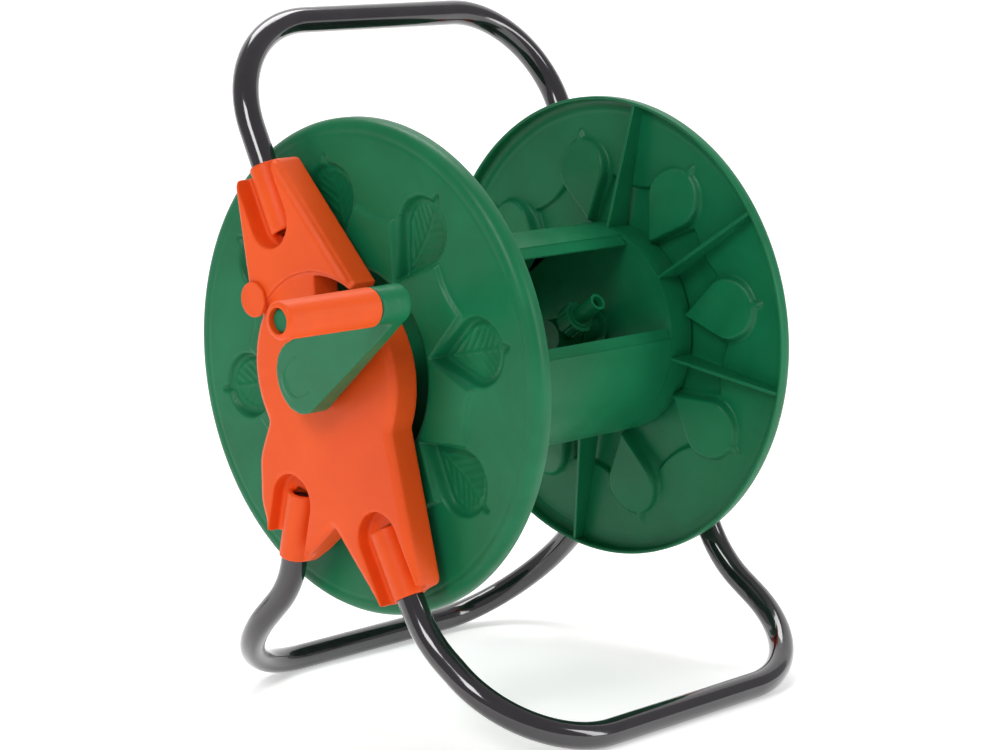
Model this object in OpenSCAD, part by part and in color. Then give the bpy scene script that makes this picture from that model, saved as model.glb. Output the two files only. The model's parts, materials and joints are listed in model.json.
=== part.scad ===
// Garden hose reel on a bent-tube carry frame.
//
// Every module is drawn in the reel frame and set down by place(): x runs rearward, y runs up and
// z runs along the reel axis, from the crank-side flange's outer face (z = 0) to the inlet side.
// Angles round the reel are counted from the front (-x) towards the top (+y).

/* [Reel] */
// Diameter of the two flanges
flange_d = 350; // [300:5:400]
// Distance over the two flanges' outer faces
reel_w = 263; // [200:1:320]
// Outer diameter of the winding drum
drum_d = 160; // [150:1:165]
// Wall of the moulded reel parts
wall = 2.5; // [2:0.1:3]
// Width of the flange's rolled rim
rim_w = 13; // [10:0.5:18]
// Height of the collar that carries the drum, from the flange's outer face
collar_h = 24; // [20:0.5:30]

/* [Leaf pockets] */
// Number of leaf-shaped pockets in each flange
leaf_n = 8; // [6:1:10]
// Angle of the first leaf
leaf_a0 = 10.2; // [0:0.1:45]
// Depth of a pocket below the flange face
leaf_depth = 8; // [5:0.5:10]
// Height of the raised panels between the leaves
panel_h = 3.5; // [2:0.5:4.5]

/* [Frame] */
// Outer diameter of the frame tube
tube_d = 19; // [16:0.5:22]
// Wall of the frame tube
tube_wall = 1.2; // [1:0.1:2]
// Height of the reel axis above the floor
axis_h = 250.5; // [240:0.5:280]
// Distance from a flange's outer face to the middle of the tube beside it
tube_out = 23; // [22.5:0.5:26]
// Corner radius of the three tube hoops
corner_r = 80; // [60:1:90]

/* [Side plates] */
// Distance from the flange face to the side plate's outer face
plate_out = 34; // [33:0.5:38]
// Distance from the flange face to the side plate's open back
plate_in = 11; // [9:0.5:13]
// How far the top block stands proud of the lower body
block_step = 3; // [1:0.5:4]
// Width of the bevel round the plate's outer face
bevel = 5; // [3:0.5:6]
// Radius of the plate's round middle
hub_r = 72; // [68:0.5:76]

/* [Crank] */
// Distance from the reel axis to the grip's axis
crank_len = 127.5; // [100:0.5:135]
// Angle of the crank at rest
crank_a = 28.6; // [0:0.1:60]
// Length of the turning grip sleeve
grip_len = 78; // [70:1:90]
// Diameter of the grip sleeve
grip_d = 26; // [22:0.5:30]

/* [Brake] */
// Diameter of the brake knob
knob_d = 25; // [20:0.5:28]
// Travel of the brake knob
knob_travel = 6; // [4:0.5:6]

/* [Hidden] */

green = "#2a7a54";
orange = "#f0602e";
black = "#302c34";
eps = 0.01;
run_gap = 0.06;                       // radial clearance of a running fit
fit_gap = 0.05;                       // radial clearance of a fixed fit
side_in = 0.08;                       // how far straight sides lie inside the tangent of a round end
lap = 0.05;                           // how far a straight run reaches into the bend beside it
draw_in = 0.02;                       // how much a bend's wall is thinned, on each face, by the bending

flange_r = flange_d / 2;
drum_r = drum_d / 2;
tube_r = tube_d / 2;
bore_r = drum_r - 7;                  // opening in the flange, inside the collar
shoulder_r = 7;                       // round of the flange's rim
journal_r = 14;                       // reel journal that turns in the side plate
web_z = collar_h - 4;                 // web that carries the journal, inside the collar
leaf_r = 21.5;                        // round end of a leaf pocket
leaf_mid = 122;                       // radius at which a leaf is widest
leaf_tip = 82.6;                      // radius of a leaf's point
panel_r = 116.5;                      // outer corners of a raised panel
panel_sag = 5;                        // hollow of its outer edge
rib_angles = [for (k = [1, 2, 3, 5, 6, 7]) (leaf_a0 + 22.5 - 90) + 45 * k];
stave_a = leaf_a0 + 22.5 - 90;        // middle of the front stave
stave_half = 61;                      // half the angle that a stave covers
tongue_half = 26.7;                   // half the angle of a stave's end tongue

// Overall extents along the axis, which set the origin under the middle of the part
grip_z1 = -165;
coupling_end = 62;
mid_z = (grip_z1 + reel_w + coupling_end) / 2;
front_bar = [-179, -241];             // middle of the front floor bar: [rear, up] from the axis
rear_bar = [143.6, -241];
handle_bar = [108.4, 240];
axis_y = -(front_bar[0] - tube_r + flange_r) / 2;

// Sockets in the side plate: [mouth, lean of the tube] as [[rear, up], degrees from straight up]
top_socket = [[63.5, 142], -24.6];
front_socket = [[-70, -148.5], 180 - 27];
rear_socket = [[50, -136], 180 + 15];
socket_depth = 46;
socket_r = tube_r + fit_gap + 1.7;
well_r = 20;
well_len = [40, 43, 43.8];
tongue_w = 7;                         // snap tongue that holds a tube in its socket
snap_cut = 0.9;                       // width of the cut round it

// Side plate outlines at the open back, each corner as [rear, up, corner radius]
body_outline = [[84, 131, 4], [73.5, 58, 5], [62.5, 39, 2], [83, 0, hub_r], [61, -38, 3],
    [73, -64, 40], [73.5, -98, 25], [66, -120, 4], [57, -119, 1.5], [60.5, -133, 1.5], [39.5, -139.2, 4],
    [22, -128, 25], [-4, -107, 2], [-49, -158, 5], [-88.5, -137.5, 5], [-65.5, -33, 5.5],
    [-81.9, 4.3, hub_r - 1], [-52, 50, 1], [-32, 68, 3], [41, 149, 5]];
block_outline = [[84, 131, 6], [73.5, 58, 8], [61.2, 37.5, 3], [-31, 45, 2], [-32, 68, 4],
    [41, 149, 7]];
block_in = 1.2;                       // how far the block's sides stand inside the body's
edge_steps = [[0, 0.62], [0.35, 0.27], [0.85, 0]];  // rounded edge of a face: [in, down], as parts of the bevel
bite_from = 34.4;                       // the notch beside the hub, between two angles
bite_to = 94;
bite_r = 27;                          // radius of the solid middle that the notch leaves

// ---------- helpers ----------
module place() translate([-mid_z, axis_y, axis_h]) rotate([90, 0, 90]) children();
module inlet_end() translate([0, 0, reel_w]) mirror([0, 0, 1]) children();
module spoke(a) rotate([0, 0, 180 - a]) children();
module tube(r_out, r_in, z0, z1) {
    translate([0, 0, z0]) difference() {
        cylinder(r = r_out, h = z1 - z0, $fn = 96);
        translate([0, 0, -1]) cylinder(r = r_in, h = z1 - z0 + 2, $fn = 96);
    }
}
module rod(r, z0, z1) translate([0, 0, z0]) cylinder(r = r, h = z1 - z0, $fn = 96);

function unit(v) = v / norm(v);
function lean(a) = [sin(-a), cos(a)];

// Corner arcs of a clockwise outline moved in by d; a corner keeps its number of points.
function corner_arc(p, c, n, d) =
    let (u = unit([p[0] - c[0], p[1] - c[1]]), v = unit([n[0] - c[0], n[1] - c[1]]),
         convex = cross(u, v) > 0 ? 1 : -1,
         steps = c[2] > 30 ? 10 : 3,
         half = acos(u * v) / 2,
         r = max(c[2] - convex * d, 0.4),
         mid = unit(u + v),
         centre = [c[0], c[1]] + mid * (convex * d + r) / sin(half),
         a0 = atan2(-mid[1], -mid[0]), sweep = convex * (90 - half))
    [for (k = [0 : steps]) let (a = a0 + sweep * (1 - 2 * k / steps)) centre + r * [cos(a), sin(a)]];
function inset(points, d) = let (n = len(points))
    [for (k = [0 : n - 1]) each corner_arc(points[(k + n - 1) % n], points[k], points[(k + 1) % n], d)];

// A slab whose edge steps in towards its face: each step is [drawn in by, from this z], down to z_back
module stepped_slab(points, steps, z_back)
    for (k = [0 : len(steps) - 1]) translate([0, 0, steps[k][1]])
        linear_extrude((k == 0 ? z_back : steps[k - 1][1] + 0.5) - steps[k][1]) polygon(inset(points, steps[k][0]));

// Sector of a disc between two angles, as a 2D shape out to radius r
module sector(a0, a1, r) {
    steps = 12;
    polygon([[0, 0], for (k = [0 : steps]) let (a = 180 - a0 - (a1 - a0) * k / steps) [cos(a), sin(a)] * r]);
}

// Round-ended teardrop: two circles, and straight sides that cross them just inside the tangent
module teardrop(x1, r1, x2, r2) {
    t = acos((r1 - r2) / (x2 - x1));
    translate([x1, 0]) circle(r = r1, $fn = 96);
    translate([x2, 0]) circle(r = r2, $fn = 96);
    polygon([for (p = [[x1, r1, 1], [x1, r1, -1], [x2, r2, -1], [x2, r2, 1]])
        [p[0], 0] + (p[1] - side_in) * [cos(t), p[2] * sin(t)]]);
}

// ---------- frame tubes ----------
module aligned(x_dir, y_dir, origin) {
    z_dir = cross(x_dir, y_dir);
    multmatrix([for (k = [0 : 2]) [x_dir[k], y_dir[k], z_dir[k], origin[k]]]) children();
}
module tube_ring(thin = 0) difference() {
    circle(r = tube_r - thin, $fn = 64);
    circle(r = tube_r - tube_wall + thin, $fn = 64);
}
module straight_run(a, b) {
    w = unit(b - a);
    side = unit(cross(w, abs(w[2]) < 0.9 ? [0, 0, 1] : [1, 0, 0]));
    aligned(side, cross(w, side), a) linear_extrude(norm(b - a)) tube_ring();
}
module elbow(start, centre, along, angle) {
    out = unit(start - centre);
    aligned(out, along, centre) rotate_extrude(angle = angle, $fn = 128)
        translate([norm(start - centre), 0]) tube_ring(draw_in);
}
// A tube through a list of corners, each with its bend radius
module bent_tube(points, radii) {
    n = len(points);
    dirs = [for (k = [0 : n - 2]) unit(points[k + 1] - points[k])];
    turns = [for (k = [1 : n - 2]) acos(dirs[k - 1] * dirs[k])];
    cuts = [0, for (k = [1 : n - 2]) radii[k - 1] * tan(turns[k - 1] / 2), 0];
    for (k = [0 : n - 2])
        straight_run(points[k] + dirs[k] * (cuts[k] - (k > 0 ? lap : 0)),
            points[k + 1] - dirs[k] * (cuts[k + 1] - (k < n - 2 ? lap : 0)));
    for (k = [1 : n - 2]) {
        start = points[k] - dirs[k - 1] * cuts[k];
        toward = unit(dirs[k] - dirs[k - 1] * (dirs[k] * dirs[k - 1]));
        elbow(start, start + toward * radii[k - 1], dirs[k - 1], turns[k - 1]);
    }
}
// Half of a hoop's corners is mirrored to the inlet side
module hoop(half, radii) {
    n = len(half);
    far = [for (k = [n - 1 : -1 : 0]) [half[k][0], half[k][1], reel_w - half[k][2]]];
    bent_tube(concat(half, far), concat(radii, [for (k = [len(radii) - 1 : -1 : 0]) radii[k]]));
}
function in_socket(s) = concat(s[0] - lean(s[1]) * socket_depth, [-tube_out]);
module handle_tube() color(black) place()
    hoop([in_socket(top_socket), concat(handle_bar, [-tube_out])], [corner_r]);
module front_leg_tube() color(black) place()
    hoop([in_socket(front_socket), [-84.2, -176.3, -tube_out], concat(front_bar, [-tube_out + 2.4])],
         [90, corner_r - 1]);
module rear_leg_tube() color(black) place()
    hoop([in_socket(rear_socket), [56.2, -159, -tube_out], concat(rear_bar, [-tube_out - 5.4])],
         [66, corner_r + 2]);

// ---------- side plates ----------
sockets = [top_socket, front_socket, rear_socket];
module at_socket(k) {
    s = sockets[k];
    translate([s[0][0], s[0][1], -tube_out]) rotate([0, 0, s[1]]) children();
}
// Round-bottomed U, for the cut round a snap tongue
module u_2d(r, h) {
    circle(r = r, $fn = 32);
    translate([side_in - r, 0]) square([2 * (r - side_in), h]);
}
// Keyhole well round a socket, open at the tube's mouth; y points out of the mouth
module well_2d(k, grow = 0) {
    translate([0, -well_len[k]]) circle(r = well_r + grow, $fn = 64);
    translate([-well_r - grow + side_in, -well_len[k]])
        square([2 * (well_r + grow - side_in), well_len[k] + 30]);
}
module plate_limits(d, z0, z1) translate([0, 0, z0]) linear_extrude(z1 - z0)
    polygon(inset(body_outline, d));
module plate_shell() {
    difference() {
        union() {
            stepped_slab(body_outline, [for (e = edge_steps) [bevel * e[0], bevel * e[1] - plate_out]], -plate_in);
            stepped_slab(block_outline, [for (e = edge_steps) [block_in + (bevel - 1) * e[0],
                (bevel - 1) * e[1] - plate_out - block_step]], -27);
        }
        plate_limits(bevel + 1, -plate_out + wall, -plate_in + 1);
        rod(hub_r, -plate_out - block_step - 1, -plate_out);
    }
}
module side_plate() {
    difference() {
        union() {
            difference() {
                plate_shell();
                for (k = [0 : 2]) at_socket(k) translate([0, 0, -30]) linear_extrude(32) well_2d(k);
            }
            // well walls and floor
            intersection() {
                plate_limits(0.5, -plate_out + 0.5, -plate_in - 2);
                for (k = [0 : 2]) at_socket(k) translate([0, 0, -30]) linear_extrude(32)
                    difference() { well_2d(k, 2); well_2d(k); }
            }
            intersection() {
                plate_limits(0.5, -tube_out - 1, -plate_in - 2);
                for (k = [0 : 2]) at_socket(k) translate([0, 0, 0]) linear_extrude(2) well_2d(k, 1);
            }
            // tube sockets
            for (k = [0 : 2]) at_socket(k) rotate([90, 0, 0]) rod(socket_r, 0, socket_depth + 4);
            // hub boss, and the walls of the notch beside it
            rod(bite_r - 3, -plate_out, -4);
            translate([0, 0, -plate_out]) linear_extrude(plate_out - plate_in) difference() {
                sector(bite_from - 3, bite_to + 3, hub_r - 1);
                circle(r = bite_r - 3.5, $fn = 64);
            }
            translate([knob_at[0], knob_at[1], 0]) rod(7.5, -plate_out, -20);
        }
        translate([0, 0, -plate_out - block_step - 1]) linear_extrude(40) difference() {
            union() { sector(bite_from, bite_to, hub_r - 3); sector(bite_from, 62, hub_r + 6); }
            circle(r = bite_r, $fn = 64);
        }
        for (k = [0 : 2]) at_socket(k) rotate([90, 0, 0]) {
            rod(tube_r + fit_gap, -1, socket_depth);
            rod(tube_r - 2, socket_depth - 1, socket_depth + 5);
        }
        // snap tongues in the socket crowns
        for (k = [0 : 2]) at_socket(k) translate([0, -24, -20]) linear_extrude(20) difference() {
            u_2d(tongue_w / 2 + snap_cut, 14);
            u_2d(tongue_w / 2, 16);
        }
        rod(journal_r + run_gap, -60, 0);
        translate([knob_at[0], knob_at[1], 0]) {
            rod(stem_r + run_gap, -60, 0);
            rod(clip_r + 0.4, -20.5, 0);
        }
    }
}
module crank_side_plate() color(orange) place() side_plate();
module inlet_side_plate() color(orange) place() inlet_end() difference() {
    side_plate();
    for (s = [-1, 1]) translate([0, s * lug_at, 0]) rod(screw_r, -plate_out - 1, -plate_out + 14);
}

// ---------- flanges ----------
module leaf_2d(grow = 0) {
    translate([leaf_mid, 0]) circle(r = leaf_r + grow, $fn = 64);
    t = acos(leaf_r / (leaf_mid - leaf_tip));
    polygon([[leaf_tip - grow / cos(t), 0],
        [leaf_mid - (leaf_r + grow) * cos(t), (leaf_r + grow) * sin(t)],
        [leaf_mid - (leaf_r + grow) * cos(t), -(leaf_r + grow) * sin(t)]]);
}
module leaf_stem_2d(grow = 0)
    polygon([[leaf_mid + leaf_r - 3, -3 - grow], [leaf_mid + leaf_r + 11 + grow, -0.8 - grow],
             [leaf_mid + leaf_r + 11 + grow, 0.8 + grow], [leaf_mid + leaf_r - 3, 3 + grow]]);
// Raised panel between two leaves, with a hollow outer edge
function at_angle(r, a) = r * [cos(a), sin(a)];
module panel_2d(in = 0) {
    half = 180 / leaf_n - 0.8;
    edge = half - 11.6;
    polygon([at_angle(bore_r + 0.4 + in, -half + in), at_angle(leaf_tip - 3, -half + in),
        for (k = [0 : 8]) let (f = k / 4 - 1) at_angle(panel_r - panel_sag * (1 - f * f) - in, (edge - in * 0.5) * f),
        at_angle(leaf_tip - 3, half - in), at_angle(bore_r + 0.4 + in, half - in)]);
}
function arc_points(c, r, a0, a1, steps = 8) =
    [for (k = [0 : steps]) let (a = a0 + (a1 - a0) * k / steps) c + r * [cos(a), sin(a)]];
module flange() {
    difference() {
        union() {
            // face, rolled rim, collar, web and journal in one turned profile
            rotate_extrude($fn = 180) union() {
                polygon(concat([[bore_r, 0]], arc_points([flange_r - shoulder_r, shoulder_r], shoulder_r, -90, 0),
                    [[flange_r, rim_w], [flange_r - wall, rim_w]],
                    arc_points([flange_r - shoulder_r, shoulder_r], shoulder_r - wall, 0, -90), [[bore_r, wall]]));
                translate([drum_r - wall, 0]) square([wall, collar_h]);
                translate([journal_r - 1, web_z]) square([drum_r - journal_r, wall]);
            }
            tube(journal_r + 4, 9, -1.2, web_z + wall);
            for (a = rib_angles) spoke(a) rotate([90, 0, 0]) translate([0, 0, -wall / 2])
                linear_extrude(wall) polygon([[drum_r - 1, 1], [flange_r - wall + 0.5, 1],
                    [flange_r - wall + 0.5, rim_w - 0.4], [drum_r - 1, collar_h - 0.4]]);
            for (k = [0 : leaf_n - 1]) {
                spoke(leaf_a0 + 360 / leaf_n * k) linear_extrude(leaf_depth + wall) leaf_2d(wall);
                spoke(leaf_a0 + 360 / leaf_n * k) linear_extrude(4.5) leaf_stem_2d(1.2);
                spoke(leaf_a0 + 360 / leaf_n * (k + 0.5)) translate([0, 0, -panel_h])
                    linear_extrude(panel_h + wall - 1) panel_2d();
            }
        }
        for (k = [0 : leaf_n - 1]) {
            spoke(leaf_a0 + 360 / leaf_n * k) translate([0, 0, -5]) linear_extrude(5 + leaf_depth) leaf_2d();
            spoke(leaf_a0 + 360 / leaf_n * k) translate([0, 0, -5]) linear_extrude(7) leaf_stem_2d();
            spoke(leaf_a0 + 360 / leaf_n * (k + 0.5)) translate([0, 0, wall - panel_h])
                linear_extrude(panel_h + 1) panel_2d(2.5);
        }
        // mouth of the flange, inside the collar
        tube(bore_r, journal_r + 6, -10, web_z);
        // slots in the collar for the stave tongues
        for (a = [stave_a, stave_a + 180]) translate([0, 0, wall + 0.1]) linear_extrude(collar_h) difference() {
            sector(a - tongue_half - 0.4, a + tongue_half + 0.4, drum_r + 0.3);
            circle(r = drum_r - wall - 1, $fn = 90);
        }
        // windows in the web
        for (k = [0 : 5]) rotate([0, 0, 60 * k + 15]) translate([48, 0, web_z - 1]) rod(15, 0, wall + 2);
    }
}
module crank_flange() color(green) place() union() {
    flange();
    tube(journal_r, 9, -plate_out - 3, web_z + wall);
    spoke(crank_a) translate([0, 0, -plate_out - 17]) linear_extrude(15) difference() {
        square(19, center = true);
        circle(r = 6, $fn = 48);
    }
}
module inlet_flange() color(green) place() inlet_end() difference() {
    union() {
        flange();
        rod(journal_r, -plate_out + 0.4, web_z + wall);
    }
    rod(axle_r + fit_gap, -plate_out - 1, web_z + wall + 1);
}

// ---------- drum staves ----------
module arc_shell(r_out, r_in, a, half, z0, z1)
    translate([0, 0, z0]) rotate([0, 0, 180 - a - half]) rotate_extrude(angle = 2 * half, $fn = 180)
        translate([r_in, 0]) square([r_out - r_in, z1 - z0]);
module stave(a) {
    arc_shell(drum_r, drum_r - 3, a, stave_half - 5, collar_h + 0.2, reel_w - collar_h - 0.2);
    arc_shell(drum_r - 0.12, drum_r - 2.8, a, tongue_half, wall + 0.3, reel_w - wall - 0.3);
    for (s = [-1, 1]) {
        // sloping strip along each window
        translate([0, 0, collar_h + 0.8]) linear_extrude(reel_w - 2 * collar_h - 1.6)
            spoke(a + s * (stave_half - 5)) polygon([[drum_r - 0.2, s * 0.9], [drum_r - 2.7, s * 0.9],
                [drum_r - 7, -s * 5.6], [drum_r - 4.6, -s * 7.6]]);
    }
    // lips that sit inside the collars
    for (s = [-1, 1], end = [0, 1])
        arc_shell(drum_r - 2.5, drum_r - 5.2, a + s * 42, 8,
            end == 0 ? web_z + wall + 0.4 : reel_w - collar_h - 8, end == 0 ? collar_h + 8 : reel_w - web_z - wall - 0.4);
}
module front_stave() color(green) place() stave(stave_a);
module rear_stave() color(green) place() stave(stave_a + 180);

// ---------- crank ----------
arm_hub = [4, 25.5];                  // wide end of the arm: offset from the axis, radius
stub_z = -87;                         // end of the round stub that the grip butts against
arm_back = -38;
pin_r = 7;
module arm_block(d) intersection() {
    translate([0, 0, -90]) linear_extrude(60) teardrop(arm_hub[0], arm_hub[1] - d, crank_len, grip_d / 2 - d);
    // outer face slopes away from the plate towards the pin
    translate([0, 0, -58 + d]) rotate([0, 6.3, 0]) translate([-60, -60, 0]) cube([260, 120, 60]);
    translate([0, 0, arm_back - 3]) rotate([0, 9.5, 0]) translate([-60, -60, -80 - d * 10]) cube([260, 120, 80 + d * 20]);
}
module crank_arm() color(green) place() spoke(crank_a) {
    difference() {
        union() {
            difference() { arm_block(0); arm_block(wall); }
            rod(15, -57, -plate_out - 2);
        }
        translate([0, 0, -plate_out - 18]) linear_extrude(30) square(19.1, center = true);
        rod(journal_r + 0.3, -plate_out - 3.4, -plate_out);
    }
    translate([crank_len, 0, 0]) {
        rod(grip_d / 2 - 0.2, stub_z, -62);
        rod(pin_r, grip_z1 + 3, stub_z + 1);
        rod(pin_r + 0.9, grip_z1 + 3, grip_z1 + 5);
    }
}
module grip_sleeve() color(orange) place() spoke(crank_a) translate([crank_len, 0, 0])
    difference() {
        rotate_extrude($fn = 96) polygon(concat([[0, stub_z - 0.3]],
            arc_points([grip_d / 2 - 1.5, stub_z - 1.8], 1.5, 90, 0, 5),
            arc_points([grip_d / 2 - 3.5, grip_z1 + 3], 3, 0, -90, 5), [[0, grip_z1]]));
        rod(pin_r + run_gap, grip_z1 - 1, stub_z + 1);
        rod(pin_r + 1.4, grip_z1 - 1, grip_z1 + 5.4);
    }

// ---------- brake ----------
knob_at = [63.5, 49];
stem_r = 4;
clip_r = 6;                           // spring clip on the stem
module brake_knob() color(orange) place() translate([knob_at[0], knob_at[1], 0]) difference() {
    union() {
        rotate_extrude($fn = 96) polygon(concat([[0, -plate_out - block_step - 0.3]],
            [[knob_d / 2, -plate_out - block_step - 0.3]],
            arc_points([knob_d / 2 - 1, -plate_out - block_step - 2], 1, 0, -90, 4),
            [[0, -plate_out - block_step - 3]]));
        rod(stem_r, -plate_out - block_step - 1, -4.2);
    }
    tube(stem_r + 1, stem_r - 1, -13.6, -12.2);
}
module brake_clip() color("silver") place() translate([knob_at[0], knob_at[1], 0])
    difference() {
        tube(clip_r, stem_r - 1 + 0.02, -13.5, -12.3);
        translate([0, -1.5, -14]) cube([10, 3, 3]);
    }

// ---------- hub hardware and water path ----------
module thrust_washer() tube(journal_r + 5, journal_r + 0.1, -3.6, -1.6);
module crank_thrust_washer() color("white") place() thrust_washer();
module inlet_thrust_washer() color("white") place() inlet_end() thrust_washer();

axle_r = 9.5;
axle_bore = 4.5;
spigot_r = 7.5;
elbow_z = 62;                         // where the hose elbow starts, from the inlet flange's face
window_a = stave_a + 90;              // direction of the drum window
module ring_groove(z) tube(spigot_r + 1, spigot_r - 1.7, z - 1, z + 1);
module water_axle() color(green) place() inlet_end() difference() {
    union() {
        rod(axle_r, -plate_out - 1, elbow_z);
        rod(spigot_r, -plate_out - 12, -plate_out);
        rod(15, web_z + wall + 0.1, web_z + wall + 3);
        rod(14, elbow_z - 16, elbow_z - 13.5);
    }
    rod(axle_bore, -plate_out - 13, elbow_z + 1);
    for (z = [-plate_out - 9.5, -plate_out - 4.5]) ring_groove(z);
}
module axle_o_rings() color("black") place() inlet_end() for (z = [-plate_out - 9.5, -plate_out - 4.5])
    translate([0, 0, z]) rotate_extrude($fn = 96) translate([spigot_r - 0.82, 0]) circle(r = 0.85, $fn = 32);
tail_r = 6.5;
module hose_elbow() color(green) place() inlet_end() difference() {
    union() {
        rod(12.5, elbow_z - 13.3, elbow_z + 12);
        translate([0, 0, elbow_z + 2]) spoke(window_a) rotate([0, 90, 0]) {
            rod(9, 0, 30);
            rod(tail_r, 29, 52);
        }
    }
    rod(axle_r + fit_gap, elbow_z - 14, elbow_z);
    rod(5, elbow_z - 1, elbow_z + 8);
    translate([0, 0, elbow_z + 2]) spoke(window_a) rotate([0, 90, 0]) rod(4.5, 0, 53);
}
module hose_nut() color(green) place() inlet_end() translate([0, 0, elbow_z + 2]) spoke(window_a) rotate([0, 90, 0])
    difference() {
        rod(12.5, 18, 29);
        rod(9 + fit_gap, 17, 30);
        for (k = [0 : 11]) rotate([0, 0, 30 * k]) translate([13, 0, 0]) rod(1.2, 17, 30);
    }

lug_at = 21.5;
screw_r = 2;
nipple_r = 13.2;
module inlet_coupling() color(black) place() inlet_end() difference() {
    union() {
        rod(17, -plate_out - 14, -plate_out - 0.1);
        rod(9, -coupling_end, -plate_out - 13);
        rod(nipple_r, -coupling_end, -coupling_end + 13);
        translate([0, 0, -plate_out - 3.1]) linear_extrude(3) {
            for (s = [-1, 1]) translate([0, s * lug_at]) circle(r = 5.5, $fn = 48);
            square([11, 2 * lug_at], center = true);
        }
    }
    rod(spigot_r + run_gap, -plate_out - 12.5, -plate_out + 1);
    rod(axle_r + 0.6, -plate_out - 1.6, -plate_out + 1);
    rod(axle_bore, -coupling_end - 1, -plate_out);
    for (s = [-1, 1]) translate([0, s * lug_at, 0]) rod(screw_r + 0.3, -plate_out - 4, -plate_out + 1);
}
module coupling_screws() color("silver") place() inlet_end() for (s = [-1, 1]) translate([0, s * lug_at, 0])
    difference() {
        union() {
            rod(3.8, -plate_out - 5.5, -plate_out - 3.15);
            rod(screw_r - 0.02, -plate_out - 4, -plate_out + 8);
        }
        for (a = [0, 90]) rotate([0, 0, a]) translate([-2.2, -0.4, -plate_out - 6]) cube([4.4, 0.8, 1.9]);
    }

handle_tube();
front_leg_tube();
rear_leg_tube();
crank_side_plate();
inlet_side_plate();
crank_flange();
inlet_flange();
front_stave();
rear_stave();
crank_arm();
grip_sleeve();
brake_knob();
brake_clip();
crank_thrust_washer();
inlet_thrust_washer();
water_axle();
hose_elbow();
hose_nut();
axle_o_rings();
inlet_coupling();
coupling_screws();
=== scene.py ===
# %% [markdown]
# # A garden hose reel
# Two green moulded flanges and a drum turn between orange side plates, and three bent steel tubes carry
# the plates. The solid model gives every size and joint. Here each part gets its finished surface: soft
# moulded edges, leaf pockets with veins, painted tube, and the plastics themselves.

# %% Load the solid model
import json
import math

import bmesh
import bpy
import numpy as np
from mathutils import Matrix, Vector


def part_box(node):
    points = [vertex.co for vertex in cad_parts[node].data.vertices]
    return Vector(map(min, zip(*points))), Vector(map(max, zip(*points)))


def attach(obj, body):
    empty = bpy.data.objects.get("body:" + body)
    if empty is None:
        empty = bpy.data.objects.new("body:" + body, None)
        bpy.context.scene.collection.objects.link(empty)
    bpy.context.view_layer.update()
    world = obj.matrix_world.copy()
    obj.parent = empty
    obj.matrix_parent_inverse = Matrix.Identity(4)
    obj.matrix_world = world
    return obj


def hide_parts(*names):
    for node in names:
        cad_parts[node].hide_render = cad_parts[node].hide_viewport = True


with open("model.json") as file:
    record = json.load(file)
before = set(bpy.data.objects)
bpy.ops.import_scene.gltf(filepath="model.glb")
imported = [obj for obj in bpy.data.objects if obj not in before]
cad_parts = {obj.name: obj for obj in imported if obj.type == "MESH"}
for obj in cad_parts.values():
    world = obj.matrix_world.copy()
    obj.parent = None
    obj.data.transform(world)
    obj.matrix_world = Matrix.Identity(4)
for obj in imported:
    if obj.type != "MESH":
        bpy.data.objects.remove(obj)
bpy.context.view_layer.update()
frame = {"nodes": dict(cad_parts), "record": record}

# %% [markdown]
# ## Where things are
# The reel axis comes from the reel's joint, and the two outer flange faces from the drum, whose tongues
# stop 2.8 mm short of each face. Shapes are drawn in millimetres as (rear, up, along the axis from the
# crank-side face), and `spot` turns that into metres in the model's frame.

# %% Reel frame
MM = 0.001
joints = {joint["name"]: joint for joint in frame["record"]["behaviour"]["joints"]}
AXIS = Vector(joints["reel_spin"]["pos_m"])
TONGUE_SHORT = 2.8
stave_low, stave_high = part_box("front_stave")
FACE_X = stave_low[0] - TONGUE_SHORT * MM
REEL_W = (stave_high[0] - stave_low[0]) / MM + 2 * TONGUE_SHORT


def spot(rear, up, along):
    return Vector((FACE_X + along * MM, AXIS.y + rear * MM, AXIS.z + up * MM))


print("reel width", round(REEL_W, 2), "mm, axis", [round(v, 4) for v in AXIS])

# %% [markdown]
# ## Helpers
# `add` is the one function that makes a shader node: it sets the node's own settings, then each input
# takes either a number or another node's output. `linear` turns an sRGB hex colour into the linear values
# that Blender works in.

# %% Colour and node helpers
def linear(hex_colour):
    channels = [int(hex_colour[k:k + 2], 16) / 255 for k in (1, 3, 5)]
    return [c / 12.92 if c <= 0.04045 else ((c + 0.055) / 1.055) ** 2.4 for c in channels] + [1.0]


def add(material, kind, inputs=None, **settings):
    node = material.node_tree.nodes.new(kind)
    for name, value in settings.items():
        setattr(node, name, value)
    for name, value in (inputs or {}).items():
        if isinstance(value, bpy.types.NodeSocket):
            material.node_tree.links.new(value, node.inputs[name])
        else:
            node.inputs[name].default_value = value
    return node


def new_material(name):
    material = bpy.data.materials.new(name)
    material.use_nodes = True
    material.node_tree.nodes.clear()
    return material


def per_mm(size_mm):
    """Noise scale whose features are about this many millimetres across."""
    return 1000 / size_mm


print("orange in linear light:", [round(c, 3) for c in linear("#f0602e")])

# %% [markdown]
# ## Moulded polypropylene
# The flanges, drum and side plates are injection-moulded polypropylene. The steel mould was spark-eroded,
# so the skin carries a fine even grain that breaks a highlight into a satin sheen. Colour drifts a little
# where the melt flowed, and handling leaves faint dull scuffs. Its IOR is about 1.49. The real grain is
# some 0.05 mm; it is drawn at 0.6 mm so that it shows.

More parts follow.
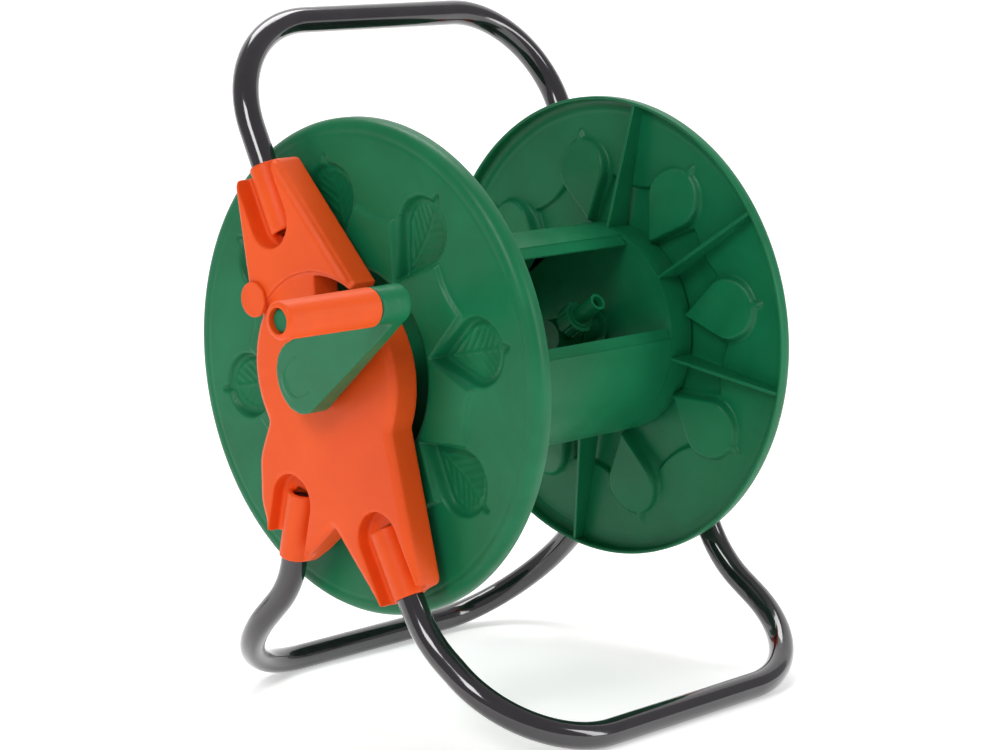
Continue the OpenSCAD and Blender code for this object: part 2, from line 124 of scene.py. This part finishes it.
# %% Polypropylene
def moulded_polypropylene(name, colour, flow_colour, scuff_colour, rough=0.36):
    material = new_material(name)
    place = add(material, "ShaderNodeTexCoord")
    flow = add(material, "ShaderNodeTexNoise", {"Vector": place.outputs["Object"], "Scale": per_mm(70),
                                                "Detail": 4.0, "Distortion": 0.8})
    drift = add(material, "ShaderNodeMapRange", {"Value": flow.outputs["Fac"], "From Min": 0.35,
                                                 "From Max": 0.7})
    body = add(material, "ShaderNodeMix", {"Factor": drift.outputs["Result"], "A": linear(colour),
                                           "B": linear(flow_colour)}, data_type="RGBA")
    scratch = add(material, "ShaderNodeTexNoise", {"Vector": place.outputs["Object"], "Scale": per_mm(9),
                                                   "Detail": 8.0, "Roughness": 0.72})
    scuff = add(material, "ShaderNodeMapRange", {"Value": scratch.outputs["Fac"], "From Min": 0.6,
                                                 "From Max": 0.78, "To Max": 0.16})
    worn = add(material, "ShaderNodeMix", {"Factor": scuff.outputs["Result"], "A": body.outputs["Result"],
                                           "B": linear(scuff_colour)}, data_type="RGBA")
    dull = add(material, "ShaderNodeMapRange", {"Value": scratch.outputs["Fac"], "From Min": 0.3,
                                                "From Max": 0.8, "To Min": rough - 0.05,
                                                "To Max": rough + 0.12})
    grain = add(material, "ShaderNodeTexNoise", {"Vector": place.outputs["Object"], "Scale": per_mm(0.6),
                                                 "Detail": 2.0})
    sink = add(material, "ShaderNodeTexNoise", {"Vector": place.outputs["Object"], "Scale": per_mm(28),
                                                "Detail": 2.0})
    waves = add(material, "ShaderNodeBump", {"Height": sink.outputs["Fac"], "Strength": 0.16,
                                             "Distance": 1.4 * MM})
    relief = add(material, "ShaderNodeBump", {"Height": grain.outputs["Fac"], "Strength": 0.1,
                                              "Distance": 0.1 * MM, "Normal": waves.outputs["Normal"]})
    skin = add(material, "ShaderNodeBsdfPrincipled", {"Base Color": worn.outputs["Result"],
                                                      "Roughness": dull.outputs["Result"], "IOR": 1.49,
                                                      "Specular IOR Level": 0.25,
                                                      "Normal": relief.outputs["Normal"]})
    add(material, "ShaderNodeOutputMaterial", {"Surface": skin.outputs["BSDF"]})
    return material


GREEN = moulded_polypropylene("green_moulded_polypropylene", "#127048", "#0e643e", "#2c8058")
ORANGE = moulded_polypropylene("orange_moulded_polypropylene", "#ea561a", "#e04e16", "#ef7040", rough=0.42)
print("materials:", GREEN.name, ORANGE.name)

# %% [markdown]
# ## Painted steel tube
# The frame is welded steel tube, 19 mm across, dipped in black gloss enamel with a faint warm cast. Enamel
# flows out nearly flat, but a soft orange-peel ripple some 5 mm apart remains, and it bends the long white
# reflections. Paint is a dielectric, so it isn't metallic, and a clear coat gives the second, sharp shine.

# %% Enamel
def gloss_enamel(name, colour, dust_colour):
    material = new_material(name)
    place = add(material, "ShaderNodeTexCoord")
    peel = add(material, "ShaderNodeTexNoise", {"Vector": place.outputs["Object"], "Scale": per_mm(5),
                                                "Detail": 1.5})
    ripple = add(material, "ShaderNodeBump", {"Height": peel.outputs["Fac"], "Strength": 0.12,
                                              "Distance": 0.5 * MM})
    cloud = add(material, "ShaderNodeTexNoise", {"Vector": place.outputs["Object"], "Scale": per_mm(25),
                                                 "Detail": 5.0})
    dust = add(material, "ShaderNodeMapRange", {"Value": cloud.outputs["Fac"], "From Min": 0.5,
                                                "From Max": 0.8, "To Max": 0.3})
    tint = add(material, "ShaderNodeMix", {"Factor": dust.outputs["Result"], "A": linear(colour),
                                           "B": linear(dust_colour)}, data_type="RGBA")
    haze = add(material, "ShaderNodeMapRange", {"Value": cloud.outputs["Fac"], "From Min": 0.3,
                                                "From Max": 0.8, "To Min": 0.1, "To Max": 0.2})
    skin = add(material, "ShaderNodeBsdfPrincipled", {"Base Color": tint.outputs["Result"],
                                                      "Roughness": haze.outputs["Result"], "IOR": 1.5,
                                                      "Coat Weight": 1.0, "Coat Roughness": 0.03,
                                                      "Normal": ripple.outputs["Normal"]})
    add(material, "ShaderNodeOutputMaterial", {"Surface": skin.outputs["BSDF"]})
    return material


ENAMEL = gloss_enamel("black_gloss_enamel", "#1a151b", "#2b252d")
print("material:", ENAMEL.name)

# %% [markdown]
# ## Small parts
# The clip and screws are zinc-plated steel, which is a metal with a slightly mottled plating. The thrust
# washers are milky acetal, the O-rings are nitrile rubber, and the coupling is black glass-filled nylon.
# All four share one recipe: a colour that drifts, a roughness that follows it, and a fine bump.

# %% Zinc, acetal, rubber and nylon
def small_part_finish(name, colour, other, metallic, rough, patch_mm, ior=1.5):
    material = new_material(name)
    place = add(material, "ShaderNodeTexCoord")
    patch = add(material, "ShaderNodeTexNoise", {"Vector": place.outputs["Object"], "Scale": per_mm(patch_mm),
                                                 "Detail": 4.0})
    tint = add(material, "ShaderNodeMix", {"Factor": patch.outputs["Fac"], "A": linear(colour),
                                           "B": linear(other)}, data_type="RGBA")
    dull = add(material, "ShaderNodeMapRange", {"Value": patch.outputs["Fac"], "To Min": rough - 0.08,
                                                "To Max": rough + 0.08})
    bump = add(material, "ShaderNodeBump", {"Height": patch.outputs["Fac"], "Strength": 0.15,
                                            "Distance": 0.2 * MM})
    skin = add(material, "ShaderNodeBsdfPrincipled", {"Base Color": tint.outputs["Result"],
                                                      "Metallic": metallic, "IOR": ior,
                                                      "Roughness": dull.outputs["Result"],
                                                      "Normal": bump.outputs["Normal"]})
    add(material, "ShaderNodeOutputMaterial", {"Surface": skin.outputs["BSDF"]})
    return material


ZINC = small_part_finish("zinc_plated_steel", "#b9bbbe", "#8f9296", 1.0, 0.34, 3)
ACETAL = small_part_finish("acetal", "#e8e6df", "#d8d6ce", 0.0, 0.4, 6, ior=1.48)
NITRILE = small_part_finish("nitrile_rubber", "#151515", "#232323", 0.0, 0.72, 2, ior=1.52)
NYLON = small_part_finish("black_glass_filled_nylon", "#17171a", "#26262a", 0.0, 0.5, 1.5, ior=1.53)
FINISH = {"green_plastic": GREEN, "orange_plastic": ORANGE, "tube_paint": ENAMEL, "steel": ZINC,
          "acetal": ACETAL, "rubber_seal": NITRILE, "black_plastic": NYLON}
print("finishes:", sorted(FINISH))

# %% [markdown]
# ## Every solid gets its finish
# The record says which material slot each node belongs to, so one loop dresses all of them.

# %% Dress the solids
SLOT = {part["node"]: part["material_slot"] for part in frame["record"]["subparts"]}
BODY = {node: body for body, nodes in frame["record"]["behaviour"]["bodies"].items() for node in nodes}
for node, obj in frame["nodes"].items():
    obj.data.materials.clear()
    obj.data.materials.append(FINISH[SLOT[node]])
print("dressed", len(frame["nodes"]), "solids")

# %% [markdown]
# ## Making a piece
# `piece` turns points and faces into a smooth-shaded object, and `stand_for` says which body it moves with,
# which solid it replaces and which slot it takes its finish from.

# %% Piece helpers
def piece(name, points, faces, flat_above=40):
    mesh = bpy.data.meshes.new(name)
    mesh.from_pydata([tuple(p) for p in points], [], faces)
    mesh.validate()
    obj = bpy.data.objects.new(name, mesh)
    bpy.context.scene.collection.objects.link(obj)
    shape = bmesh.new()
    shape.from_mesh(mesh)
    bmesh.ops.recalc_face_normals(shape, faces=shape.faces)
    shape.to_mesh(mesh)
    shape.free()
    mesh.shade_smooth()
    mesh.set_sharp_from_angle(angle=math.radians(flat_above))
    return obj


def stand_for(obj, node, replaces=True):
    obj.data.materials.clear()
    obj.data.materials.append(FINISH[SLOT[node]])
    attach(obj, BODY[node])
    if replaces:
        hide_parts(node)


print("helpers ready")

# %% [markdown]
# ## Bent tubes
# A bent tube is a circle carried along a path. The path is a list of corners with a bend radius each; the
# straight between two bends needs no points, and an arc gets one every 4 degrees. Carrying the same
# frame along the path without twist keeps the sides of the tube straight. Each hoop is the mouth of its
# socket as (rear, up), the angle it leaves at, and then one half of its corners; the other half mirrors it.

# %% Sweep a circle along a path
TUBE_R = 9.5
TUBE_OUT = 23


def bend_path(corners, radii):
    points = [corners[0]]
    for k in range(1, len(corners) - 1):
        before = (corners[k] - corners[k - 1]).normalized()
        after = (corners[k + 1] - corners[k]).normalized()
        turn = before.angle(after)
        start = corners[k] - before * radii[k - 1] * math.tan(turn / 2)
        toward = (after - before * before.dot(after)).normalized()
        centre = start + toward * radii[k - 1]
        steps = max(3, round(math.degrees(turn) / 4))
        for step in range(steps + 1):
            angle = turn * step / steps
            swing = before * math.sin(angle) - toward * math.cos(angle)
            points.append(centre + swing * radii[k - 1])
    return points + [corners[-1]]


def tube(name, path, radius, sides=48):
    n = len(path)
    tangents = []
    for k in range(n):
        tangents.append((path[min(k + 1, n - 1)] - path[max(k - 1, 0)]).normalized())
    side = tangents[0].orthogonal().normalized()
    points, faces = [], []
    for centre, tangent in zip(path, tangents):
        side = (side - tangent * side.dot(tangent)).normalized()
        other = tangent.cross(side)
        for s in range(sides):
            angle = 2 * math.pi * s / sides
            points.append(centre + (side * math.cos(angle) + other * math.sin(angle)) * radius)
    for k in range(n - 1):
        for s in range(sides):
            t = (s + 1) % sides
            faces.append((k * sides + s, k * sides + t, (k + 1) * sides + t, (k + 1) * sides + s))
    faces.append(tuple(range(sides))[::-1])
    faces.append(tuple((n - 1) * sides + s for s in range(sides)))
    return piece(name, points, faces)


def lean(angle):
    return Vector((math.sin(-math.radians(angle)), math.cos(math.radians(angle))))


SOCKET_DEPTH = 46
HOOPS = {
    "handle_tube": ((63.5, 142), -24.6, [(108.4, 240, -TUBE_OUT, 80)]),
    "front_leg_tube": ((-70, -148.5), 153,
                       [(-84.2, -176.3, -TUBE_OUT, 90), (-179, -241, -TUBE_OUT + 2.4, 79)]),
    "rear_leg_tube": ((50, -136), 195,
                      [(56.2, -159, -TUBE_OUT, 66), (143.6, -241, -TUBE_OUT - 5.4, 82)]),
}
for node, (mouth, angle, bends) in HOOPS.items():
    inner = Vector(mouth) - lean(angle) * (SOCKET_DEPTH - 0.2)
    half = [(inner.x, inner.y, -TUBE_OUT, 0)] + bends
    whole = half + [(x, y, REEL_W - z, r) for x, y, z, r in reversed(half)]
    path = bend_path([spot(x, y, z) for x, y, z, r in whole], [r * MM for x, y, z, r in whole[1:-1]])
    hoop = tube(node + "_painted", path, TUBE_R * MM)
    stand_for(hoop, node)
    print(node, "path points", len(path))

# %% [markdown]
# ## Flanges
# A flange is one thin moulded sheet: a flat disc with a rolled rim, raised panels near the middle, and
# leaf-shaped pockets sunk between them. Both faces follow the same relief, 2.5 mm apart, so a pocket on the
# outside is a boss on the inside. The relief is a height for each radius and angle, worked out with
# distances to the leaf's and panel's edges, and a polar grid is pushed out by it.

# %% Relief of a flange, in millimetres
FLANGE_R, BORE_R, DRUM_R, WALL = 175, 73, 80, 2.5
RIM_W, SHOULDER = 13, 7
LEAF_COUNT, FIRST_LEAF = 8, 10.2
LEAF_MID, LEAF_R, LEAF_POINT, STEM_END = 122, 21.5, 82.6, 150
POCKET, PANEL = 8.0, 3.5


def ease(edge, width, distance):
    t = np.clip((distance - edge) / width + 0.5, 0, 1)
    return t * t * (3 - 2 * t)


def leaf_distance(x, y):
    half = math.asin(LEAF_R / (LEAF_MID - LEAF_POINT))
    along = (x - LEAF_POINT) * math.cos(half) + np.abs(y) * math.sin(half)
    side = np.abs(y) * math.cos(half) - (x - LEAF_POINT) * math.sin(half)
    ring = np.hypot(x - LEAF_MID, y) - LEAF_R
    body = np.where(along < (LEAF_MID - LEAF_POINT) * math.cos(half), side, ring)
    tip = np.maximum(np.abs(y) - 5.5 * (STEM_END - x) / (STEM_END - LEAF_MID - 12), x - STEM_END)
    tip = np.where(x < LEAF_MID + 8, 99, tip)
    return np.minimum(body, tip)


def vein_relief(x, y):
    middle = np.exp(-(y / 0.75) ** 2)
    slant = (x - 0.9 * np.abs(y)) / 7.2
    ribs = np.exp(-(((slant - np.round(slant)) * 7.2 / 1.35) / 0.62) ** 2)
    inside = 1 - ease(-3.2, 2.0, leaf_distance(x, y))
    outline = np.exp(-((leaf_distance(x, y) + 4.2) / 0.8) ** 2)
    return inside * np.maximum(middle, 0.75 * ribs * (np.abs(y) > 1.0)) + 0.7 * outline


def panel_distance(r, angle):
    half = 180 / LEAF_COUNT
    x, y = r * np.cos(np.radians(angle)), r * np.abs(np.sin(np.radians(angle)))
    inner, outer = 79.6, 116.5
    a = np.array([inner * math.cos(math.radians(half)), inner * math.sin(math.radians(half))])
    b = np.array([outer * math.cos(math.radians(10.1)), outer * math.sin(math.radians(10.1))])
    d = (b - a) / np.linalg.norm(b - a)
    side = -(x - a[0]) * d[1] + (y - a[1]) * d[0]
    edge = r - (outer - 5 * (1 - np.clip(angle / 10.1, -1, 1) ** 2))
    return np.maximum(side, edge)


def relief(r, angle, veins):
    """Height out of the face; angle is counted from the front towards the top, in degrees."""
    step = 360 / LEAF_COUNT
    from_leaf = (angle - FIRST_LEAF + step / 2) % step - step / 2
    from_panel = (angle - FIRST_LEAF) % step - step / 2
    x, y = r * np.cos(np.radians(from_leaf)), r * np.sin(np.radians(from_leaf))
    sunk = 1 - ease(1.2, 2.6, leaf_distance(x, y))
    depth = POCKET - 4.6 * ease(132, 34, x)
    raised = 1 - ease(-1.2, 2.6, panel_distance(r, from_panel))
    height = PANEL * raised * (1 - sunk) - depth * sunk
    if veins:
        height = height + 0.9 * vein_relief(x, y) * sunk
    height = height - 0.5 * np.exp(-((r - 164.5) / 0.9) ** 2)
    return height * (1 - ease(BORE_R + 1.5, 3.0, -r + 2 * (BORE_R + 1.5)) * 0.35)


print("pocket floor:", round(float(relief(np.array(118.0), np.array(FIRST_LEAF), False)), 2), "mm")

# %% [markdown]
# The grid is finer than the smallest edge round, and it closes on itself round the rim's lip and at the
# bore, so the flange is one watertight sheet with a real thickness.

# %% Build the flange skin
GRID_TURN = 720
GRID_STEP = 1.3
ROLL_STEPS = 8


def flange_skin(name, node, mirror):
    angles = np.arange(GRID_TURN) * 360 / GRID_TURN
    radii = np.arange(BORE_R, FLANGE_R - SHOULDER + 0.01, GRID_STEP)
    rows = []
    for r in radii:
        rows.append((np.full(GRID_TURN, r), -relief(r, angles, True)))
    for step in range(1, ROLL_STEPS + 1):
        turn = math.pi / 2 * step / ROLL_STEPS
        r = FLANGE_R - SHOULDER + SHOULDER * math.sin(turn)
        rows.append((np.full(GRID_TURN, r), np.full(GRID_TURN, SHOULDER * (1 - math.cos(turn)))))
    lip = [(FLANGE_R, RIM_W - 0.8), (FLANGE_R - 0.25, RIM_W - 0.2), (FLANGE_R - 0.8, RIM_W),
           (FLANGE_R - WALL + 0.8, RIM_W), (FLANGE_R - WALL, RIM_W - 0.8)]
    rows += [(np.full(GRID_TURN, r), np.full(GRID_TURN, z)) for r, z in lip]
    for step in range(ROLL_STEPS, -1, -1):
        turn = math.pi / 2 * step / ROLL_STEPS
        r = FLANGE_R - SHOULDER + (SHOULDER - WALL) * math.sin(turn)
        z = SHOULDER - (SHOULDER - WALL) * math.cos(turn)
        rows.append((np.full(GRID_TURN, r), np.full(GRID_TURN, z)))
    for r in radii[::-1]:
        rows.append((np.full(GRID_TURN, r), WALL - relief(r, angles, False)))
    points, faces = [], []
    cos, sin = np.cos(np.radians(angles)), np.sin(np.radians(angles))
    for r, z in rows:
        along = REEL_W - z if mirror else z
        points += [spot(-r[k] * cos[k], r[k] * sin[k], along[k]) for k in range(GRID_TURN)]
    n = len(rows)
    for row in range(n):
        below, above = row * GRID_TURN, (row + 1) % n * GRID_TURN
        for k in range(GRID_TURN):
            t = (k + 1) % GRID_TURN
            faces.append((below + k, below + t, above + t, above + k))
    stand_for(piece(name, points, faces, flat_above=70), node)
    print(name, len(faces), "faces")


flange_skin("crank_flange_skin", "crank_flange", False)
flange_skin("inlet_flange_skin", "inlet_flange", True)

# %% [markdown]
# Behind the skin stand the collar that carries the drum, the web, the journal, and six ribs that taper
# from the collar to the rim. A rib is a thin plate with rounded edges, and the other three are one profile
# carried round the axis.

# %% Collar, web, journal and ribs
RIB_ANGLES = [FIRST_LEAF - 67.5 + 45 * k for k in (1, 2, 3, 5, 6, 7)]
COLLAR_H, WEB_Z, JOURNAL_R = 24, 20, 14
JOURNAL_BORE_R = 9
STEP_R, STEP_Z = JOURNAL_R + 4, -1.2
JOURNAL_END = {"crank_flange": -37, "inlet_flange": -33.6}
TURN_STEPS = 144


def turned(name, profile, mirror):
    """Carries a closed profile of (radius, along) round the axis."""
    points, faces = [], []
    n = len(profile)
    for k in range(TURN_STEPS):
        angle = 2 * math.pi * k / TURN_STEPS
        for r, z in profile:
            along = REEL_W - z if mirror else z
            points.append(spot(-r * math.cos(angle), r * math.sin(angle), along))
    for k in range(TURN_STEPS):
        here, after = k * n, (k + 1) % TURN_STEPS * n
        for p in range(n):
            q = (p + 1) % n
            faces.append((here + p, here + q, after + q, after + p))
    return piece(name, points, faces, flat_above=35)


def soften(obj, width_mm, segments=2, angle=35):
    rounded = obj.modifiers.new("edge_round", "BEVEL")
    rounded.width = width_mm * MM
    rounded.segments = segments
    rounded.limit_method = "ANGLE"
    rounded.angle_limit = math.radians(angle)
    rounded.use_clamp_overlap = True


def apply_all(obj):
    graph = bpy.context.evaluated_depsgraph_get()
    finished = bpy.data.meshes.new_from_object(obj.evaluated_get(graph))
    obj.modifiers.clear()
    obj.data = finished


def plate_between(name, corners, angle, thick, mirror):
    """A flat plate in a plane through the axis, from (radius, along) corners."""
    radial = Vector((-math.cos(math.radians(angle)), math.sin(math.radians(angle))))
    across = Vector((radial.y, -radial.x)) * thick / 2
    points = []
    for sign in (-1, 1):
        for r, z in corners:
            along = REEL_W - z if mirror else z
            flat = radial * r + across * sign
            points.append(spot(flat.x, flat.y, along))
    n = len(corners)
    faces = [tuple(range(n))[::-1], tuple(range(n, 2 * n))]
    faces += [(k, (k + 1) % n, n + (k + 1) % n, n + k) for k in range(n)]
    return piece(name, points, faces)


for node, mirror in (("crank_flange", False), ("inlet_flange", True)):
    collar_in, journal_end = DRUM_R - WALL, JOURNAL_END[node]
    hub = [(JOURNAL_BORE_R, journal_end), (JOURNAL_R, journal_end), (JOURNAL_R, STEP_Z), (STEP_R, STEP_Z),
           (STEP_R, WEB_Z), (collar_in, WEB_Z), (collar_in, 2.0), (DRUM_R, 2.0), (DRUM_R, COLLAR_H),
           (collar_in, COLLAR_H), (collar_in, WEB_Z + WALL), (JOURNAL_BORE_R, WEB_Z + WALL)]
    stand_for(turned(node + "_collar", hub, mirror), node, replaces=False)
    inner, outer = DRUM_R - 1, FLANGE_R - WALL + 0.4
    taper = [(inner, 1.8), (outer, 1.8), (outer, RIM_W - 0.6), (inner, COLLAR_H - 0.6)]
    for number, angle in enumerate(RIB_ANGLES):
        rib = plate_between(f"{node}_rib_{number}", taper, angle, WALL, mirror)
        soften(rib, 0.5)
        apply_all(rib)
        stand_for(rib, node, replaces=False)
    print(node, "collar and", len(RIB_ANGLES), "ribs")

# %% [markdown]
# ## Rounded edges on the other mouldings
# No moulded edge is knife sharp: the mould's own cutter leaves a radius, which catches a line of light.
# A copy of each solid is cleaned to its true faces, and a bevel rounds every edge sharper than 25 degrees.

# %% Rounded copies of the mouldings
WELD_MM = 0.01
OLD_SHADING = ("custom_normal", "sharp_edge", "sharp_face")


def welded_copy(node, suffix, flatten=False):
    """A copy of a solid with its seams welded; flatten also joins the triangles of each flat face."""
    mesh = frame["nodes"][node].data.copy()
    mesh.name = node + suffix
    obj = bpy.data.objects.new(mesh.name, mesh)
    bpy.context.scene.collection.objects.link(obj)
    shape = bmesh.new()
    shape.from_mesh(mesh)
    bmesh.ops.remove_doubles(shape, verts=shape.verts, dist=WELD_MM * MM)
    if flatten:
        bmesh.ops.dissolve_limit(shape, angle_limit=math.radians(1.0), verts=shape.verts, edges=shape.edges)
    shape.to_mesh(mesh)
    shape.free()
    return obj


def rounded_copy(node, width_mm):
    obj = welded_copy(node, "_moulded", flatten=True)
    mesh = obj.data
    for name in [a.name for a in mesh.attributes if a.name in OLD_SHADING]:
        mesh.attributes.remove(mesh.attributes[name])
    soften(obj, width_mm, segments=3, angle=25)
    even = obj.modifiers.new("even_shading", "WEIGHTED_NORMAL")
    even.keep_sharp = True
    mesh.shade_smooth()
    apply_all(obj)
    obj.data.set_sharp_from_angle(angle=math.radians(50))
    stand_for(obj, node)
    print(obj.name, len(obj.data.polygons), "faces")


ROUND_MM = {"grip_sleeve": 0.5, "brake_knob": 0.7, "front_stave": 0.4, "rear_stave": 0.4,
            "hose_elbow": 0.5, "hose_nut": 0.4, "inlet_coupling": 0.5}
for node, width_mm in ROUND_MM.items():
    rounded_copy(node, width_mm)

# %% [markdown]
# The side plates and the crank have fuller, softer edges that run into each other, which a bevel can't
# follow. Their copies are rebuilt from voxels just under 1 mm and then relaxed, so that every edge melts
# into an even round, as in a mould polished by hand. The relaxing keeps broad faces flat, because a flat
# face has nothing to even out.

# %% Softly rounded side plates and crank
def melted_copy(node, voxel_mm, passes):
    obj = welded_copy(node, "_soft_moulded")
    voxels = obj.modifiers.new("voxels", "REMESH")
    voxels.mode = "VOXEL"
    voxels.voxel_size = voxel_mm * MM
    relaxed = obj.modifiers.new("relaxed", "SMOOTH")
    relaxed.factor = 0.5
    relaxed.iterations = passes
    apply_all(obj)
    obj.data.shade_smooth()
    stand_for(obj, node)
    print(obj.name, len(obj.data.polygons), "faces")


MELT = {"crank_side_plate": (0.9, 9), "inlet_side_plate": (0.9, 9), "crank_arm": (0.8, 10)}
for node, (voxel_mm, passes) in MELT.items():
    melted_copy(node, voxel_mm, passes)

# %% [markdown]
# ## Mark on the crank
# A raised horseshoe line is moulded on the crank's hub, where the thumb presses to snap the crank on. It is
# a thin round bead, half sunk into the sloping face, so it follows that face's slope.

# %% Horseshoe bead
CRANK_ANGLE = 28.6


def on_crank(length, across, along):
    cos, sin = math.cos(math.radians(CRANK_ANGLE)), math.sin(math.radians(CRANK_ANGLE))
    return spot(-length * cos - across * sin, length * sin - across * cos, along)


ARM_FACE, ARM_SLOPE = -58.0, math.tan(math.radians(6.3))
BEAD_MID, BEAD_R, BEAD_LEG = 1.0, 13.0, 9.0
BEAD_THICK, BEAD_SUNK = 0.6, 0.25
line = []
for step in range(5):
    line.append((BEAD_MID + BEAD_LEG * (1 - step / 4), BEAD_R))
for step in range(1, 24):
    turn = math.radians(90 + 180 * step / 24)
    line.append((BEAD_MID + BEAD_R * math.cos(turn), BEAD_R * math.sin(turn)))
for step in range(5):
    line.append((BEAD_MID + BEAD_LEG * step / 4, -BEAD_R))
path = [on_crank(x, y, ARM_FACE - x * ARM_SLOPE + BEAD_SUNK) for x, y in line]
bead = tube("crank_horseshoe", path, BEAD_THICK * MM, sides=12)
stand_for(bead, "crank_arm", replaces=False)
print("horseshoe points", len(line))

# %% [markdown]
# ## Floor, light and camera
# The floor is a pale seamless sweep: flat, then curving up behind, so no horizon shows. Three large soft
# lamps light the reel as in a catalogue: one high at the left front, one at the right, and one behind that
# draws white lines along the tubes. The camera stands low at the crank's corner with a long lens.

# %% Floor
VIEW_TURN = math.radians(44.7)
SWEEP_R = 1.2


def sweep_floor():
    profile = [(-4.0, 0.0), (SWEEP_R, 0.0)]
    for degrees in range(6, 90, 6):
        turn = math.radians(degrees)
        profile.append((SWEEP_R + math.sin(turn) * SWEEP_R, SWEEP_R - math.cos(turn) * SWEEP_R))
    profile += [(2 * SWEEP_R, SWEEP_R), (2 * SWEEP_R, 4.5)]
    points, faces = [], []
    away = Vector((math.sin(VIEW_TURN), math.cos(VIEW_TURN), 0))
    across = Vector((away.y, -away.x, 0))
    for distance, height in profile:
        for side in (-4, 4):
            points.append(away * distance + across * side + Vector((0, 0, height)))
    for k in range(len(profile) - 1):
        faces.append((2 * k, 2 * k + 1, 2 * k + 3, 2 * k + 2))
    return piece("studio_floor", points, faces)


floor = sweep_floor()
paper = new_material("seamless_paper")
place = add(paper, "ShaderNodeTexCoord")
fibre = add(paper, "ShaderNodeTexNoise", {"Vector": place.outputs["Object"], "Scale": per_mm(40),
                                          "Detail": 4.0})
tone = add(paper, "ShaderNodeMix", {"Factor": fibre.outputs["Fac"], "A": linear("#fbfbfb"),
                                    "B": linear("#f6f6f6")}, data_type="RGBA")
sheet = add(paper, "ShaderNodeBsdfPrincipled", {"Base Color": tone.outputs["Result"], "Roughness": 0.9,
                                                "Emission Color": tone.outputs["Result"],
                                                "Emission Strength": 0.42})
add(paper, "ShaderNodeOutputMaterial", {"Surface": sheet.outputs["BSDF"]})
floor.data.materials.append(paper)
print("floor ready")

# %% Lamps and world
AIM = Vector((0.02478, -0.02761, 0.2356))


def soft_lamp(name, position, size, power):
    data = bpy.data.lights.new(name, "AREA")
    data.shape = "RECTANGLE"
    data.size, data.size_y = size
    data.energy = power
    lamp = bpy.data.objects.new(name, data)
    lamp.location = position
    lamp.rotation_euler = (AIM - Vector(position)).to_track_quat("-Z", "Y").to_euler()
    bpy.context.scene.collection.objects.link(lamp)


soft_lamp("key_lamp", (-1.9, -0.7, 1.7), (0.8, 1.0), 23)
soft_lamp("fill_lamp", (1.0, -2.2, 0.9), (0.5, 1.5), 15)
soft_lamp("top_lamp", (0.5, 0.6, 2.1), (1.5, 0.7), 20)
world = bpy.data.worlds.new("studio_white")
world.use_nodes = True
world.node_tree.nodes["Background"].inputs["Color"].default_value = (1, 1, 1, 1)
world.node_tree.nodes["Background"].inputs["Strength"].default_value = 0.38
bpy.context.scene.world = world
bpy.context.scene.view_settings.view_transform = "Standard"
print("three lamps")

# %% Camera
FROM = Vector((-1.32223, -1.38971, 0.52902))
ROLL = -1.868
lens = bpy.data.cameras.new("studio_camera")
lens.lens, lens.sensor_width = 97.51, 36.0
camera = bpy.data.objects.new("studio_camera", lens)
turn = (AIM - FROM).to_track_quat("-Z", "Y").to_matrix().to_4x4()
camera.matrix_world = Matrix.Translation(FROM) @ turn @ Matrix.Rotation(math.radians(ROLL), 4, "Z")
bpy.context.scene.collection.objects.link(camera)
bpy.context.scene.camera = camera
print("camera distance", round((AIM - FROM).length, 3), "m")
